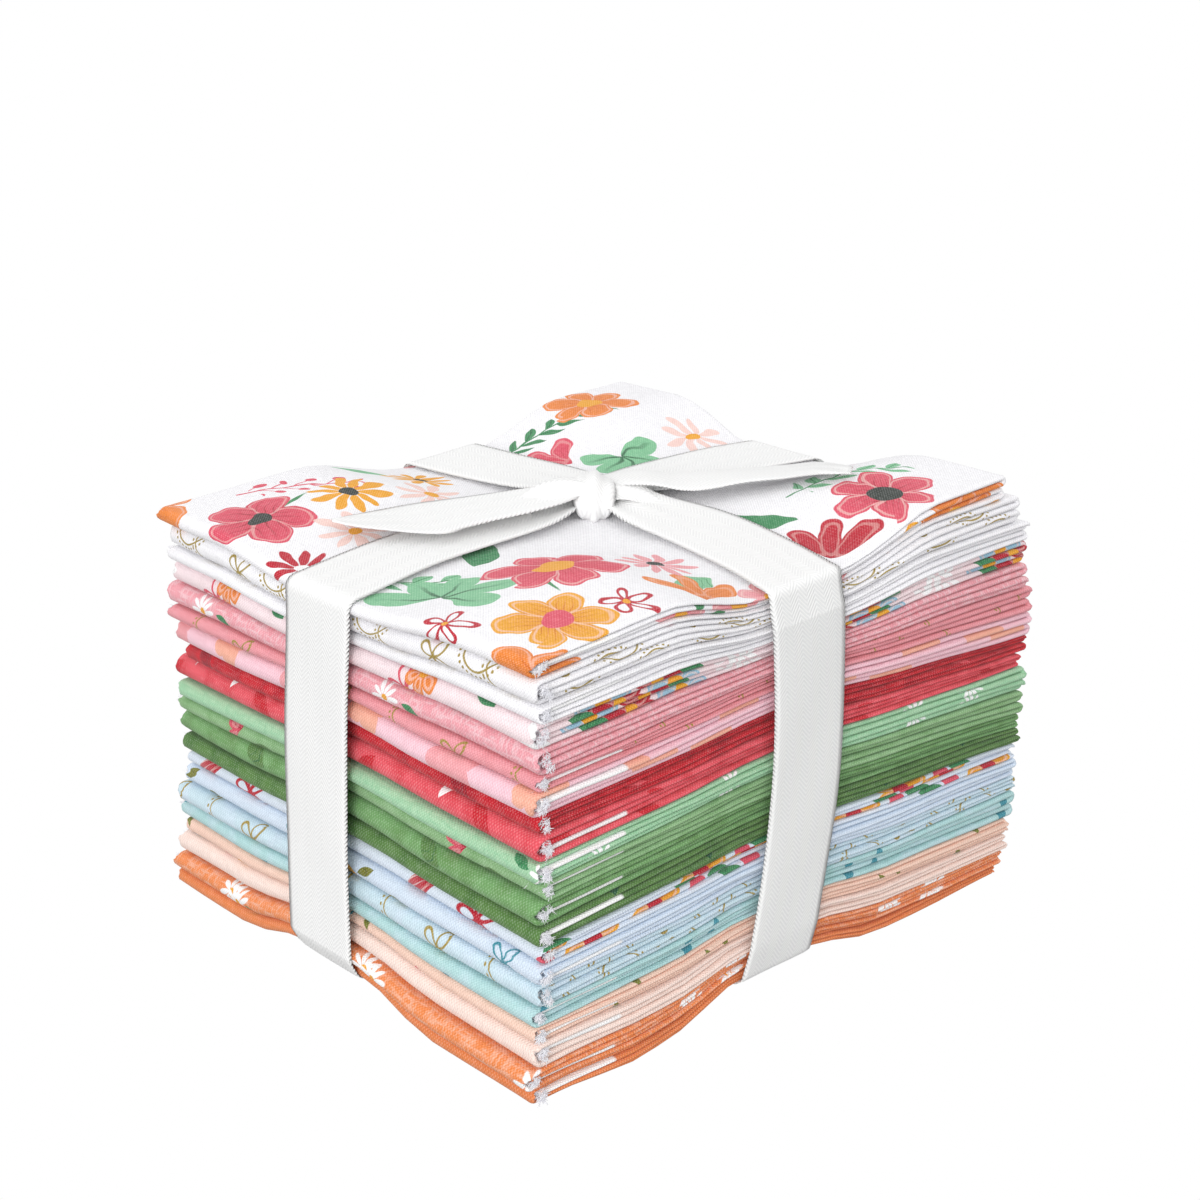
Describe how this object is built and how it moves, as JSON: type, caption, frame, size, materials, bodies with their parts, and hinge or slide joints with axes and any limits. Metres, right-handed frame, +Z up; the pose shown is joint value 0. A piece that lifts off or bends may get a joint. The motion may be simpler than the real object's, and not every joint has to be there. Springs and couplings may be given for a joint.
{
  "type": "fat quarter bundle",
  "caption": "Stack of folded quilting cotton cuts in assorted prints, tied both ways with a flat twill tape that is knotted on top and ends in two short tails.",
  "frame": {"origin": "centre of the footprint on the surface that the bundle rests on", "axes": "+Z up through the stack, +X along the longer side towards the ends where the cloths turn back, +Y along the shorter side away from the side that shows every layer's edge"},
  "size_m": [0.145, 0.118, 0.0953],
  "materials": {
    "quarter_01_large_floral": "matt printed quilting cotton",
    "quarter_02_gold_line": "matt printed quilting cotton",
    "quarter_03_white": "matt printed quilting cotton",
    "quarter_04_pink_floral": "matt printed quilting cotton",
    "quarter_05_coral_daisy": "matt printed quilting cotton",
    "quarter_06_pink_gold": "matt printed quilting cotton",
    "quarter_07_light_pink": "matt printed quilting cotton",
    "quarter_08_deep_red": "matt printed quilting cotton",
    "quarter_09_coral_red": "matt printed quilting cotton",
    "quarter_10_mint_daisy": "matt printed quilting cotton",
    "quarter_11_sage_floral": "matt printed quilting cotton",
    "quarter_12_green_leaf": "matt printed quilting cotton",
    "quarter_13_olive": "matt printed quilting cotton",
    "quarter_14_blue_floral": "matt printed quilting cotton",
    "quarter_15_blue_leaf": "matt printed quilting cotton",
    "quarter_16_aqua_gold": "matt printed quilting cotton",
    "quarter_17_aqua": "matt printed quilting cotton",
    "quarter_18_peach_sprig": "matt printed quilting cotton",
    "quarter_19_pale_peach": "matt printed quilting cotton",
    "quarter_20_orange_daisy": "matt printed quilting cotton",
    "quarter_21_orange": "matt printed quilting cotton",
    "ribbon": "matt cotton twill tape"
  },
  "bodies": {
    "root": {"quarter_01_large_floral": "quarter_01_large_floral", "quarter_02_gold_line": "quarter_02_gold_line", "quarter_03_white": "quarter_03_white", "quarter_04_pink_floral": "quarter_04_pink_floral", "quarter_05_coral_daisy": "quarter_05_coral_daisy", "quarter_06_pink_gold": "quarter_06_pink_gold", "quarter_07_light_pink": "quarter_07_light_pink", "quarter_08_deep_red": "quarter_08_deep_red", "quarter_09_coral_red": "quarter_09_coral_red", "quarter_10_mint_daisy": "quarter_10_mint_daisy", "quarter_11_sage_floral": "quarter_11_sage_floral", "quarter_12_green_leaf": "quarter_12_green_leaf", "quarter_13_olive": "quarter_13_olive", "quarter_14_blue_floral": "quarter_14_blue_floral", "quarter_15_blue_leaf": "quarter_15_blue_leaf", "quarter_16_aqua_gold": "quarter_16_aqua_gold", "quarter_17_aqua": "quarter_17_aqua", "quarter_18_peach_sprig": "quarter_18_peach_sprig", "quarter_19_pale_peach": "quarter_19_pale_peach", "quarter_20_orange_daisy": "quarter_20_orange_daisy", "quarter_21_orange": "quarter_21_orange", "ribbon": "ribbon"}
  },
  "joints": []
}
